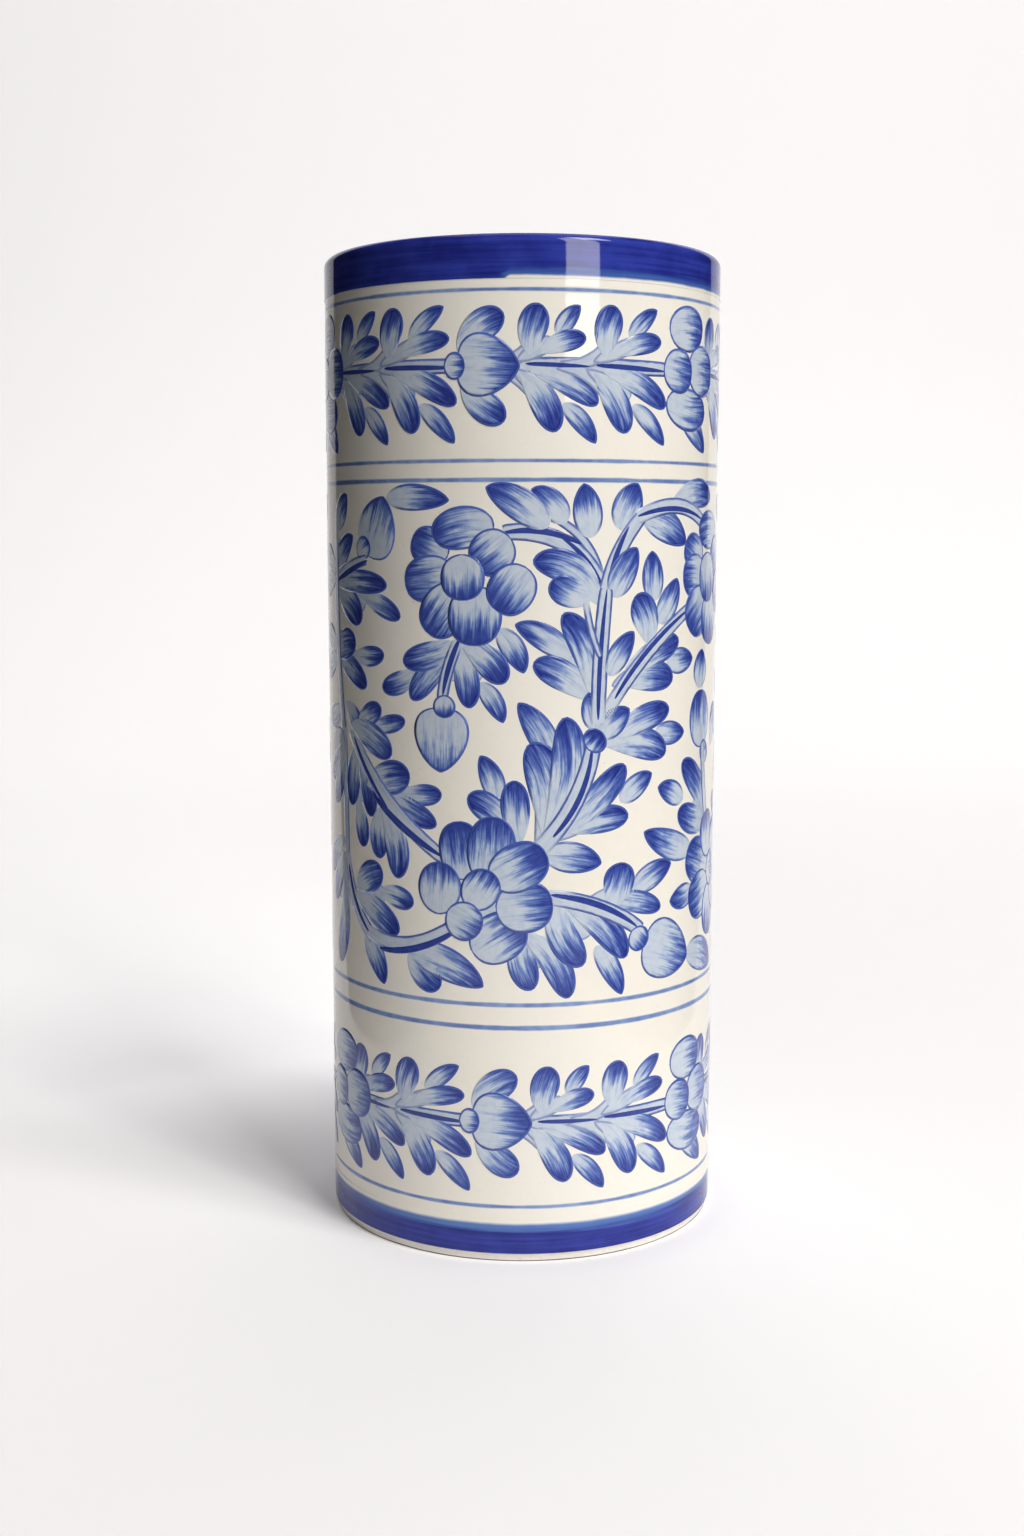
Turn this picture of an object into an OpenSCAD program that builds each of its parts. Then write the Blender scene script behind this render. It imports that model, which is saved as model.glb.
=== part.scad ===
// Talavera cylinder vase: a white-glazed pottery tube on a bare foot ring,
// banded with cobalt at the lip and foot and painted with three floral friezes.
// Origin at the middle of the foot, +Z up, the painted front facing -Y.

/* [Body] */
// Overall height, from the foot to the top of the lip
vase_h = 278; // [200:1:340]
// Outside diameter of the glazed wall
vase_d = 114; // [90:1:150]
// Thickness of the clay wall
wall_t = 5.2; // [4:0.1:8]
// Rounding of the clay lip's two edges
lip_round = 2; // [1:0.1:2.4]

/* [Base] */
// Height of the bare foot ring, which is also the recess under the floor
foot_h = 3; // [2.8:0.1:5]
// Width of the foot ring's resting face
foot_w = 11; // [6:0.5:16]
// How far the foot ring's outer edge leans in at the bottom
foot_lean = 1; // [0.5:0.1:2]
// Thickness of the clay floor
floor_t = 6; // [4:0.5:9]

/* [Glaze] */
// Thickness of the white glaze
glaze_t = 0.4; // [0.3:0.05:0.8]
// Height at which the outside glaze stops above the foot
glaze_stop = 2.4; // [1:0.1:2.8]
// Thickness of the painted cobalt
paint_t = 0.1; // [0.05:0.01:0.2]

/* [Bands and ring lines] */
// Bottom of the cobalt band round the lip, below the top
rim_band_h = 11; // [6:0.5:16]
// Top of the cobalt band round the foot
foot_band_h = 10.4; // [6:0.1:16]
// Heights of the six ring lines, from the top down
line_heights = [263.6, 219.7, 214.7, 73.1, 66.7, 15.9];
// Widths of the six ring lines
line_widths = [1, 0.9, 1.1, 1.2, 1.4, 1.1];

/* [Friezes] */
// Height of the stem of the upper frieze
upper_stem_h = 244; // [236:1:250]
// Height of the stem of the lower frieze
lower_stem_h = 40; // [34:1:48]
// Number of repeats round the upper and lower friezes
border_repeats = 3; // [1:1:3]
// Number of repeats round the middle frieze
garden_repeats = 2; // [1:1:2]
// Lengths of a frond's three leaves
frond_lengths = [8, 11, 11];
// Width of a frond's leaves
frond_width = 4.5; // [3:0.5:5]
// Distance from a frond's point to where its leaves begin
frond_reach = 6; // [6:0.5:8]
// Angle from one leaf of a frond to the next
frond_spread = 27; // [26:1:34]

/* [Hidden] */

$fn = 96;
outer_r = vase_d / 2;
clay_r = outer_r - glaze_t;
bore_r = clay_r - wall_t;
inside_r = bore_r - glaze_t;
middle_r = (clay_r + bore_r) / 2;
clay_top = vase_h - glaze_t;
floor_top = foot_h + floor_t;
round_trip = 2 * PI * outer_r;
petal_blue = [0.42, 0.53, 0.74];
leaf_blue = [0.2, 0.27, 0.62];
line_blue = [0.48, 0.58, 0.8];
band_blue = [0.1, 0.16, 0.55];

// Half of a cylindrical wall with both top edges rounded, as a flat section
module wall_section(inner, outer, bottom, top, round_r) {
    translate([inner, bottom])
        square([outer - inner, top - round_r - bottom]);
    translate([inner + round_r, bottom])
        square([outer - inner - 2 * round_r, top - bottom]);
    for (x = [inner + round_r, outer - round_r])
        translate([x, top - round_r])
            circle(round_r);
}

// The clay wall's section, swollen by a coat of the given thickness
module coated_section(coat) {
    wall_section(bore_r - coat, clay_r + coat, foot_h - 1, clay_top + coat, lip_round + coat);
}

// What the glaze adds to the clay wall
module glaze_section() {
    difference() {
        coated_section(glaze_t);
        coated_section(0);
    }
}

// A ring of rectangular section
module ring(inner, outer, bottom, height) {
    translate([0, 0, bottom])
        rotate_extrude()
            translate([inner, 0])
                square([outer - inner, height]);
}

module foot_ring() {
    color("antiquewhite")
        rotate_extrude()
            polygon([
                [clay_r - foot_lean - foot_w, 0],
                [clay_r - foot_lean, 0],
                [clay_r, glaze_stop],
                [clay_r, foot_h],
                [clay_r - foot_lean - foot_w, foot_h]
            ]);
}

module floor_disc() {
    color("antiquewhite")
        translate([0, 0, foot_h])
            cylinder(h = floor_t, r = bore_r);
}

module wall() {
    color("antiquewhite")
        rotate_extrude()
            wall_section(bore_r, clay_r, foot_h, clay_top, lip_round);
}

module outside_glaze() {
    color("ivory") {
        rotate_extrude()
            intersection() {
                glaze_section();
                translate([middle_r, foot_h])
                    square([wall_t, vase_h]);
            }
        ring(clay_r, outer_r, glaze_stop, foot_h - glaze_stop);
    }
}

module inside_glaze() {
    color("ivory") {
        rotate_extrude()
            intersection() {
                glaze_section();
                translate([middle_r - wall_t, floor_top])
                    square([wall_t, vase_h]);
            }
        translate([0, 0, floor_top])
            cylinder(h = glaze_t, r = bore_r);
    }
}

module rim_band() {
    color(band_blue)
        rotate_extrude()
            intersection() {
                difference() {
                    coated_section(glaze_t + paint_t);
                    coated_section(glaze_t);
                }
                translate([outer_r - lip_round, vase_h - rim_band_h])
                    square([2 * lip_round, vase_h]);
            }
}

module foot_band() {
    color(band_blue)
        ring(outer_r, outer_r + paint_t, glaze_stop, foot_band_h - glaze_stop);
}

module ring_line(index) {
    width = line_widths[index];
    color(line_blue)
        ring(outer_r, outer_r + paint_t, line_heights[index] - width / 2, width);
}

// The thin shell of paint over the wall, cut to the outline of its children
module painted(bottom, top) {
    intersection() {
        ring(outer_r, outer_r + paint_t, bottom, top - bottom);
        union()
            children();
    }
}

// Stands a flat outline up against the wall, so far round it and so high
module on_wall(arc, h) {
    rotate([0, 0, arc / round_trip * 360])
        translate([0, 6 - outer_r, h])
            rotate([90, 0, 0])
                linear_extrude(7)
                    children();
}

// One pointed leaf that starts at a point and runs the way it is turned
module leaf(arc, h, length, width, turn) {
    bow_r = (length * length + width * width) / (4 * width);
    on_wall(arc, h)
        rotate(turn)
            intersection() {
                translate([length / 2, bow_r - width / 2])
                    circle(bow_r);
                translate([length / 2, width / 2 - bow_r])
                    circle(bow_r);
            }
}

// One round petal
module petal(arc, h, width) {
    on_wall(arc, h)
        circle(width / 2);
}

// Three leaves that fan out round one point, clear of each other
module frond(arc, h, turn, side) {
    for (i = [0:2]) {
        lean = turn - side * i * frond_spread;
        leaf(
            arc + frond_reach * cos(lean),
            h + frond_reach * sin(lean),
            frond_lengths[i],
            frond_width,
            lean
        );
    }
}

// A flower of four round petals, lying along a border
module border_flower(arc, stem_h) {
    for (side = [-1, 1])
        petal(arc + 5, stem_h + side * 9, 16);
    petal(arc, stem_h, 13);
    petal(arc + 13, stem_h, 14);
}

// A round bud with its small cup
module bud(arc, h, width, turn) {
    petal(arc, h, width);
    petal(arc - cos(turn) * width * 0.65, h - sin(turn) * width * 0.65, width * 0.4);
}

// All the flowers and buds of a border frieze
module border_flowers(stem_h, shift) {
    for (i = [0:border_repeats - 1]) {
        start = i * round_trip / 3 + shift;
        border_flower(start + 48, stem_h);
        bud(start - 8, stem_h, 16, 0);
    }
}

// All the leaves of a border frieze
module border_fronds(stem_h, shift) {
    for (i = [0:border_repeats - 1]) {
        start = i * round_trip / 3 + shift;
        for (step = [-58, -39, 2, 21])
            for (side = [-1, 1])
                frond(start + step, stem_h + side * 3, side * 56, side);
        for (side = [-1, 1])
            leaf(start - 14, stem_h + side * 8, 13, 7, side * 30);
    }
}

module upper_flowers() {
    color(petal_blue)
        painted(220.5, 262)
            border_flowers(upper_stem_h, 0);
}

module upper_fronds() {
    color(leaf_blue)
        painted(220.5, 262)
            border_fronds(upper_stem_h, 0);
}

module lower_flowers() {
    color(petal_blue)
        painted(17, 65)
            border_flowers(lower_stem_h, 0);
}

module lower_fronds() {
    color(leaf_blue)
        painted(17, 65)
            border_fronds(lower_stem_h, 0);
}

module middle_flowers() {
    color(petal_blue)
        painted(75, 213)
            for (i = [0:garden_repeats - 1]) {
                start = i * round_trip / 2;
                for (turn = [30:60:330])
                    petal(start - 16 + 10 * cos(turn), 188 + 10 * sin(turn), 13);
                for (turn = [20:50:320])
                    petal(start - 11 + 12 * cos(turn), 105 + 11 * sin(turn), 12);
                for (turn = [30:60:330])
                    petal(start + 66 + 9 * cos(turn), 186 + 10 * sin(turn), 12);
                for (turn = [36:72:324])
                    petal(start + 69 + 8 * cos(turn), 104 + 9 * sin(turn), 12);
                bud(start - 22, 146, 15, -90);
                bud(start - 45, 202, 15, 60);
                bud(start + 44, 84, 17, -30);
                bud(start + 63, 149, 13, 90);
            }
}

module middle_fronds() {
    color(leaf_blue)
        painted(75, 213)
            for (i = [0:garden_repeats - 1]) {
                start = i * round_trip / 2;
                frond(start - 20, 171, -140, -1);
                frond(start - 18, 171, -40, 1);
                frond(start - 58, 186, -8, 1);
                frond(start - 52, 143, -8, 1);
                frond(start - 60, 102, -6, 1);
                frond(start + 12, 122, 30, 1);
                frond(start + 28, 144, 10, 1);
                frond(start + 30, 164, 14, 1);
                frond(start + 12, 100, -60, 1);
                frond(start - 4, 124, 110, -1);
                frond(start + 20, 160, 130, -1);
            }
}

module middle_leaves() {
    color(leaf_blue)
        painted(75, 213)
            for (i = [0:garden_repeats - 1]) {
                start = i * round_trip / 2;
                leaf(start + 2, 204, 14, 7, 150);
                leaf(start + 8, 203, 13, 6, 110);
                leaf(start + 17, 200, 12, 7, 92);
                leaf(start + 28, 201, 11, 7, 75);
                leaf(start + 36, 205, 18, 8, -25);
                leaf(start + 8, 114, 15, 7, -10);
                leaf(start - 32, 85, 22, 9, -20);
                leaf(start - 49, 91, 13, 7, -65);
                leaf(start - 38, 210, 18, 6, 0);
                leaf(start + 19, 184, 17, 7, 148);
                leaf(start + 25, 184, 14, 6, 63);
                leaf(start + 38, 182, 14, 6, 92);
                leaf(start + 44, 176, 12, 6, 62);
                leaf(start + 63, 158, 11, 7, 88);
                leaf(start + 56, 112, 20, 8, 160);
                leaf(start + 56, 122, 16, 7, 124);
                leaf(start + 55, 82, 20, 8, -18);
            }
}

foot_ring();
floor_disc();  // floor
wall();
outside_glaze();
inside_glaze();
rim_band();
foot_band();
for (i = [0:len(line_heights) - 1])
    ring_line(i);
upper_flowers();
upper_fronds();
middle_flowers();
middle_fronds();
middle_leaves();
lower_flowers();
lower_fronds();
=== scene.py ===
import math

import bmesh
import bpy
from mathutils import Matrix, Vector


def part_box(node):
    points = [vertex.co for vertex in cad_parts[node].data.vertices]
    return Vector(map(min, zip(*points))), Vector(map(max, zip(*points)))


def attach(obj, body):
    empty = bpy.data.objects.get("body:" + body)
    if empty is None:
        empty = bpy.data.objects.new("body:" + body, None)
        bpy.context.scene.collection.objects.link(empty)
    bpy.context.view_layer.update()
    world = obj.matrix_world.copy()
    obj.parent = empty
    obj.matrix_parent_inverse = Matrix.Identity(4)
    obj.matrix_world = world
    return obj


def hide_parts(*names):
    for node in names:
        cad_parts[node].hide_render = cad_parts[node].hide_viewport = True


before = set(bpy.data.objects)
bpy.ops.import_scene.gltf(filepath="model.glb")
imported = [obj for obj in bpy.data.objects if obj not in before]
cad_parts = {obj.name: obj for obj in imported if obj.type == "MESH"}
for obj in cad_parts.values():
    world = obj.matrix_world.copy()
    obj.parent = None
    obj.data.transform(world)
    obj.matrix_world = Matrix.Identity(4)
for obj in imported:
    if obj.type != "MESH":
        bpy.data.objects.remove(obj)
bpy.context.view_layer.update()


# The studio: a sheet of white paper, narrow under the vase, that sweeps up into a
# lit backdrop. A tall softbox and a high lamp stand to the right of the camera, and
# a weak lamp hangs over the paper behind the vase.
def calc(tree, operation, *values, clamp=False):
    """One math node. Numbers are set on its sockets and the rest is linked."""
    node = tree.nodes.new("ShaderNodeMath")
    node.operation = operation
    node.use_clamp = clamp
    for socket, value in zip(node.inputs, values):
        if isinstance(value, (int, float)):
            socket.default_value = value
        else:
            tree.links.new(value, socket)
    return node.outputs[0]


def feed(tree, node, **values):
    """Sets or links a node's inputs by name, with _ for a space."""
    for name, value in values.items():
        socket = node.inputs[name.replace("_", " ")]
        if isinstance(value, bpy.types.NodeSocket):
            tree.links.new(value, socket)
        else:
            socket.default_value = value
    return node


def between(tree, value, low_end, high_end):
    """Runs smoothly from 0 at low_end to 1 at high_end, whichever of them is larger."""
    node = tree.nodes.new("ShaderNodeMapRange")
    node.interpolation_type = "SMOOTHSTEP"
    feed(tree, node, Value=value, From_Min=low_end, From_Max=high_end)
    return node.outputs["Result"]


def mix(tree, amount, a, b):
    """Blends two colours."""
    node = tree.nodes.new("ShaderNodeMix")
    node.data_type = "RGBA"
    for name, value in (("Factor_Float", amount), ("A_Color", a), ("B_Color", b)):
        socket = next(s for s in node.inputs if s.identifier == name)
        if isinstance(value, bpy.types.NodeSocket):
            tree.links.new(value, socket)
        else:
            socket.default_value = value
    return next(s for s in node.outputs if s.identifier == "Result_Color")


def own_place(tree):
    """Where a point lies on the object, in metres."""
    return tree.nodes.new("ShaderNodeTexCoord").outputs["Object"]


def parts(tree, vector):
    """The X, Y and Z of a vector."""
    node = tree.nodes.new("ShaderNodeSeparateXYZ")
    tree.links.new(vector, node.inputs[0])
    return node.outputs["X"], node.outputs["Y"], node.outputs["Z"]


def white_paper():
    """Matt paper with a faint painted glow of its own, stronger towards the backdrop, that stands in
    for room light.
    Where the vase's long shadow falls, the glow is stronger still: painted light that lightens the cast
    shadow."""
    shadow_left = 0.55
    shadow_back = 0.835
    glow_start = 0.1
    glow_run = 0.9
    material = bpy.data.materials.new("white_paper")
    material.use_nodes = True
    tree = material.node_tree
    shader = tree.nodes["Principled BSDF"]
    shader.inputs["Base Color"].default_value = (0.9, 0.89, 0.895, 1)
    shader.inputs["Roughness"].default_value = 0.9
    shader.inputs["Specular IOR Level"].default_value = 0.1
    shader.inputs["Emission Strength"].default_value = 1
    x, y, z = parts(tree, own_place(tree))
    rise = calc(tree, "DIVIDE", calc(tree, "SUBTRACT", y, glow_start), glow_run, clamp=True)
    glow = mix(tree, rise, (0.125, 0.123, 0.124, 1), (0.20, 0.197, 0.199, 1))
    # Painted light: a stronger glow along the vase's long cast shadow, which lightens that shadow on
    # the paper.
    away = calc(tree, "MULTIPLY_ADD", x, -shadow_left, calc(tree, "MULTIPLY", y, shadow_back))
    aside = calc(tree, "MULTIPLY_ADD", x, shadow_back, calc(tree, "MULTIPLY", y, shadow_left))
    spread = calc(tree, "DIVIDE", calc(tree, "ABSOLUTE", aside), calc(tree, "ADD", away, 0.06))
    near_end = between(tree, away, 0.05, 0.17)
    far_end = calc(tree, "DIVIDE", 0.16, away, clamp=True)
    along_shadow = calc(tree, "MULTIPLY", near_end, far_end)
    lift = calc(tree, "MULTIPLY", along_shadow, between(tree, spread, 0.75, 0.0))
    painted_shadow_lift = mix(tree, lift, glow, (0.53, 0.522, 0.527, 1))
    tree.links.new(painted_shadow_lift, shader.inputs["Emission Color"])
    return material


def white_sweep():
    table_front = -0.5
    table_half = 0.25
    table_back = 0.12
    bend = 0.35
    bend_half = 0.9
    bend_steps = 12
    backdrop_half = 1.15
    backdrop_y = 1.25
    backdrop_h = 1.7
    bend_start = backdrop_y - bend
    rows = [(table_front, 0, table_half), (table_back, 0, table_half), (bend_start, 0, bend_half)]
    for step in range(1, bend_steps + 1):
        turn = math.radians(90 * step / bend_steps)
        rows.append((bend_start + bend * math.sin(turn), bend - bend * math.cos(turn), backdrop_half))
    rows.append((backdrop_y, backdrop_h, backdrop_half))
    vertices = []
    for y, z, half_width in rows:
        vertices += [(-half_width, y, z), (half_width, y, z)]
    faces = []
    for i in range(len(rows) - 1):
        faces.append((2 * i, 2 * i + 1, 2 * i + 3, 2 * i + 2))
    mesh = bpy.data.meshes.new("white_sweep")
    mesh.from_pydata(vertices, [], faces)
    mesh.shade_smooth()
    mesh.materials.append(white_paper())
    sweep = bpy.data.objects.new("white_sweep", mesh)
    bpy.context.scene.collection.objects.link(sweep)


def area_light(name, place, aim, width, height, power, colour):
    lamp = bpy.data.lights.new(name, "AREA")
    lamp.shape = "RECTANGLE"
    lamp.size = width
    lamp.size_y = height
    lamp.energy = power
    lamp.color = colour
    light = bpy.data.objects.new(name, lamp)
    light.location = place
    light.rotation_euler = (Vector(aim) - Vector(place)).to_track_quat("-Z", "Y").to_euler()
    bpy.context.scene.collection.objects.link(light)


white_sweep()
area_light("softbox", (1.0, -1.5, 1.5), (0, 0, 1.5), 0.62, 2.0, 36, (1, 0.985, 0.96))
area_light("high_light", (1.4, -1.15, 2.6), (0, 0, 0.1), 0.8, 1.2, 45, (1, 0.985, 0.96))
area_light("back_light", (0.05, 0.6, 1.9), (0, 0.6, 0), 1.2, 1.2, 4.5, (1, 0.99, 0.98))

# The room beyond the paper gives little light, so the vase's shaded side stays deep,
# but the camera sees it as pale as the paper.
world = bpy.data.worlds.new("studio_air")
world.use_nodes = True
air = world.node_tree
seen = air.nodes.new("ShaderNodeLightPath").outputs["Is Camera Ray"]
room_tone = mix(air, seen, (0.012, 0.012, 0.013, 1), (0.84, 0.83, 0.835, 1))
air.links.new(room_tone, air.nodes["Background"].inputs["Color"])
bpy.context.scene.world = world
bpy.context.scene.view_settings.view_transform = "Standard"

# The camera stands half a metre in front of the vase, three quarters of its
# height up, and looks slightly down.
lens = bpy.data.cameras.new("camera")
lens.sensor_fit = "VERTICAL"
lens.sensor_height = 36
lens.lens = 42.9
lens.clip_start = 0.01
camera = bpy.data.objects.new("camera", lens)
camera.location = (0, -0.5435, 0.2012)
camera.rotation_euler = (math.radians(90 - 7.36), 0, math.radians(0.31))
bpy.context.scene.collection.objects.link(camera)
bpy.context.scene.camera = camera


# The clay body: a pale wall and floor, on a bare foot ring whose outer edge was
# wiped clean of glaze before firing. Turned shapes are made as exact revolutions.
MM = 0.001
glaze_t = 0.4 * MM
vase_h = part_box("wall")[1].z + glaze_t
outer_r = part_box("outside_glaze")[1].x
clay_r = outer_r - glaze_t
glaze_stop = 2.4 * MM
foot_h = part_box("foot_ring")[1].z
foot_inner_r = clay_r - 12 * MM
foot_bevel = 0.3 * MM


def turned(name, outline):
    """A closed outline of (radius, height) points, turned round the vase's axis."""
    sides = 256
    rings = len(outline)
    vertices = []
    for side in range(sides):
        turn = 2 * math.pi * side / sides
        for r, z in outline:
            vertices.append((r * math.sin(turn), -r * math.cos(turn), z))
    faces = []
    for side in range(sides):
        here = side * rings
        there = (side + 1) % sides * rings
        for i in range(rings):
            j = (i + 1) % rings
            faces.append((here + i, there + i, there + j, here + j))
    mesh = bpy.data.meshes.new(name)
    mesh.from_pydata(vertices, [], faces)
    shape = bmesh.new()
    shape.from_mesh(mesh)
    bmesh.ops.recalc_face_normals(shape, faces=shape.faces)
    shape.to_mesh(mesh)
    shape.free()
    mesh.shade_smooth()
    mesh.set_sharp_from_angle(angle=math.radians(40))
    piece = bpy.data.objects.new(name, mesh)
    bpy.context.scene.collection.objects.link(piece)
    return piece


def noise(tree, vector, scale, detail=2.0):
    node = tree.nodes.new("ShaderNodeTexNoise")
    feed(tree, node, Vector=vector, Scale=scale, Detail=detail, Roughness=0.5)
    return node.outputs["Fac"]


def finish_material(name, roughness):
    """A new fired finish: its material, tree, shader and bump node."""
    material = bpy.data.materials.new(name)
    material.use_nodes = True
    tree = material.node_tree
    shader = tree.nodes["Principled BSDF"]
    shader.inputs["Roughness"].default_value = roughness
    shader.inputs["IOR"].default_value = 1.5
    shader.inputs["Specular IOR Level"].default_value = 0.32
    bump = tree.nodes.new("ShaderNodeBump")
    bump.inputs["Strength"].default_value = 1.0
    bump.inputs["Distance"].default_value = 0.05 * MM
    tree.links.new(bump.outputs["Normal"], shader.inputs["Normal"])
    return material, tree, shader, bump


def bare_clay():
    """Pale fired clay, with dust in its grain, and painted shade as a dark line along the bottom where
    it stands.
    """
    material, tree, shader, bump = finish_material("bare_clay", 0.75)
    place = own_place(tree)
    grain = noise(tree, place, 900, 3)
    stain = noise(tree, place, 60, 3)
    paler = mix(tree, stain, (0.80, 0.75, 0.68, 1), (0.88, 0.85, 0.80, 1))
    dust = calc(tree, "MULTIPLY", between(tree, grain, 0.5, 0.8), 0.4)
    dusty = mix(tree, dust, paler, (0.62, 0.55, 0.47, 1))
    # Painted shade: a dark line along the foot's bottom edge, just above the floor, with a wavy upper
    # edge.
    height = parts(tree, place)[2]
    contact_shade_height = calc(tree, "ADD", height, calc(tree, "MULTIPLY", stain, 0.3 * MM))
    painted_contact_shade = between(tree, contact_shade_height, 0.6 * MM, 0.3 * MM)
    tree.links.new(mix(tree, painted_contact_shade, dusty, (0.10, 0.085, 0.07, 1)), shader.inputs["Base Color"])
    tree.links.new(calc(tree, "MULTIPLY", grain, 0.4), bump.inputs["Height"])
    return material


clay = bare_clay()
foot_ring = turned("foot_ring_turned", [
    (foot_inner_r, 0),
    (clay_r - foot_bevel, 0),
    (clay_r, glaze_stop),
    (clay_r, foot_h),
    (foot_inner_r, foot_h),
])
foot_ring.data.materials.append(clay)
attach(foot_ring, "root")
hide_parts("foot_ring")
for node_name in ("wall", "floor"):
    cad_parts[node_name].data.materials.clear()
    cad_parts[node_name].data.materials.append(clay)


# The white glaze: a warm, thick tin glaze that was dipped over the wall, the lip
# and the inside, with faint clouding, pinholes and a slightly wavy surface.
def white_glaze_group():
    """The glaze's colour and height, for the plain glaze and for the paints over it."""
    group = bpy.data.node_groups.new("white_glaze_ground", "ShaderNodeTree")
    group.interface.new_socket("Warmth", in_out="INPUT", socket_type="NodeSocketFloat")
    group.interface.new_socket("Color", in_out="OUTPUT", socket_type="NodeSocketColor")
    group.interface.new_socket("Height", in_out="OUTPUT", socket_type="NodeSocketFloat")
    entry = group.nodes.new("NodeGroupInput")
    exit_node = group.nodes.new("NodeGroupOutput")
    place = own_place(group)
    clouds = noise(group, place, 45, 4)
    grain = noise(group, place, 700, 2)
    pinholes = group.nodes.new("ShaderNodeTexVoronoi")
    feed(group, pinholes, Vector=place, Scale=210)
    hole_r = calc(group, "SUBTRACT", calc(group, "MULTIPLY", noise(group, place, 120, 1), 0.2), 0.075)
    pinhole = calc(group, "LESS_THAN", pinholes.outputs["Distance"], hole_r)
    cloudy = between(group, clouds, 0.3, 0.7)
    ground = mix(group, cloudy, (0.92, 0.875, 0.78, 1), (0.90, 0.87, 0.795, 1))
    warmed = calc(group, "MULTIPLY", grain, entry.outputs["Warmth"])
    warm = mix(group, warmed, ground, (0.80, 0.735, 0.62, 1))
    speckled = mix(group, calc(group, "MULTIPLY", pinhole, 0.35), warm, (0.50, 0.44, 0.36, 1))
    group.links.new(speckled, exit_node.inputs["Color"])
    swell = noise(group, place, 38, 1)
    group.links.new(calc(group, "MULTIPLY_ADD", grain, 0.05, swell), exit_node.inputs["Height"])
    return group


def ground_node(tree):
    node = tree.nodes.new("ShaderNodeGroup")
    node.node_tree = white_ground
    node.inputs["Warmth"].default_value = 0.25
    return node


def white_glaze():
    """The plain glaze, which is thin and shows the clay's brown on the top of the lip."""
    material, tree, shader, bump = finish_material("white_glaze", 0.05)
    ground = ground_node(tree)
    place = own_place(tree)
    lip_edge = between(tree, parts(tree, place)[2], vase_h - 0.9 * MM, vase_h + 0.1 * MM)
    thin = calc(tree, "MULTIPLY", lip_edge, calc(tree, "ADD", noise(tree, place, 150), 0.2), clamp=True)
    colour = mix(tree, thin, ground.outputs["Color"], (0.44, 0.30, 0.20, 1))
    tree.links.new(colour, shader.inputs["Base Color"])
    tree.links.new(ground.outputs["Height"], bump.inputs["Height"])
    return material


def arc(centre_r, centre_z, radius, start, end):
    """Points on a round corner of an outline, with the angles in degrees."""
    steps = 8
    points = []
    for step in range(steps + 1):
        turn = math.radians(start + (end - start) * step / steps)
        points.append((centre_r + radius * math.cos(turn), centre_z + radius * math.sin(turn)))
    return points


white_ground = white_glaze_group()
glaze = white_glaze()
lip_r = 2.4 * MM
clay_lip_r = 2 * MM
wall_t = 5.2 * MM
clay_top = vase_h - glaze_t
middle_r = clay_r - wall_t / 2
bore_r = clay_r - wall_t
inside_r = bore_r - glaze_t
floor_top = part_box("floor")[1].z
centre_hole_r = 0.2 * MM

outside = [(outer_r, glaze_stop)]
outside += arc(outer_r - lip_r, vase_h - lip_r, lip_r, 0, 90)
outside += [(middle_r, vase_h), (middle_r, clay_top)]
outside += arc(clay_r - clay_lip_r, clay_top - clay_lip_r, clay_lip_r, 90, 0)
outside += [(clay_r, glaze_stop)]
outside_glaze = turned("outside_glaze_coat", outside)

inside = [(bore_r, floor_top)]
inside += arc(bore_r + clay_lip_r, clay_top - clay_lip_r, clay_lip_r, 180, 90)
inside += [(middle_r, clay_top), (middle_r, vase_h)]
inside += arc(inside_r + lip_r, vase_h - lip_r, lip_r, 90, 180)
inside += arc(inside_r - lip_r, floor_top + glaze_t + lip_r, lip_r, 0, -90)
inside += [(centre_hole_r, floor_top + glaze_t), (centre_hole_r, floor_top)]
inside_glaze = turned("inside_glaze_coat", inside)
for coat, node_name in ((outside_glaze, "outside_glaze"), (inside_glaze, "inside_glaze")):
    coat.data.materials.append(glaze)
    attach(coat, "root")
    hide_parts(node_name)


# The two cobalt bands: laid on with a wide brush while the vase turned on a wheel,
# so their colour runs in faint streaks round the pot and their inner edges are soft.
def band_material(name, solid_h, edge_h, seam, thin_blue):
    """Solid colour up to solid_h, fading out to the bare glaze at edge_h. On the left
    of the place where the brush came round again, the edge lies off by seam."""
    material, tree, shader, bump = finish_material(name, 0.05)
    ground = ground_node(tree)
    place = own_place(tree)
    x, y, z = parts(tree, place)
    fade = edge_h - solid_h
    around = calc(tree, "ARCTAN2", x, calc(tree, "MULTIPLY", y, -1))
    streak_place = tree.nodes.new("ShaderNodeCombineXYZ")
    feed(tree, streak_place, X=calc(tree, "MULTIPLY", around, 1.3), Y=calc(tree, "MULTIPLY", z, 700))
    streaks = noise(tree, streak_place.outputs[0], 1, 3)
    pools = noise(tree, place, 110, 3)
    wobble = calc(tree, "MULTIPLY", calc(tree, "SUBTRACT", noise(tree, place, 130, 2), 0.5), 0.5 * MM)
    overlap = calc(tree, "MULTIPLY", between(tree, around, -0.05, -0.12), seam)
    height = calc(tree, "ADD", calc(tree, "ADD", z, wobble), overlap)
    amount = between(tree, height, edge_h, edge_h - fade * 0.3)
    drag = calc(tree, "MULTIPLY", calc(tree, "SUBTRACT", streaks, 0.5), 5 * MM)
    dragged = calc(tree, "ADD", height, drag)
    body = between(tree, dragged, edge_h - fade * 0.25, solid_h)
    tone = calc(tree, "MULTIPLY_ADD", streaks, 0.8, calc(tree, "MULTIPLY", pools, 0.5))
    deep = mix(tree, between(tree, tone, 0.45, 0.85), (0.014, 0.020, 0.20, 1), (0.032, 0.050, 0.36, 1))
    soft = mix(tree, body, thin_blue, deep)
    colour = mix(tree, amount, ground.outputs["Color"], soft)
    tree.links.new(colour, shader.inputs["Base Color"])
    tree.links.new(ground.outputs["Height"], bump.inputs["Height"])
    return material


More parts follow.
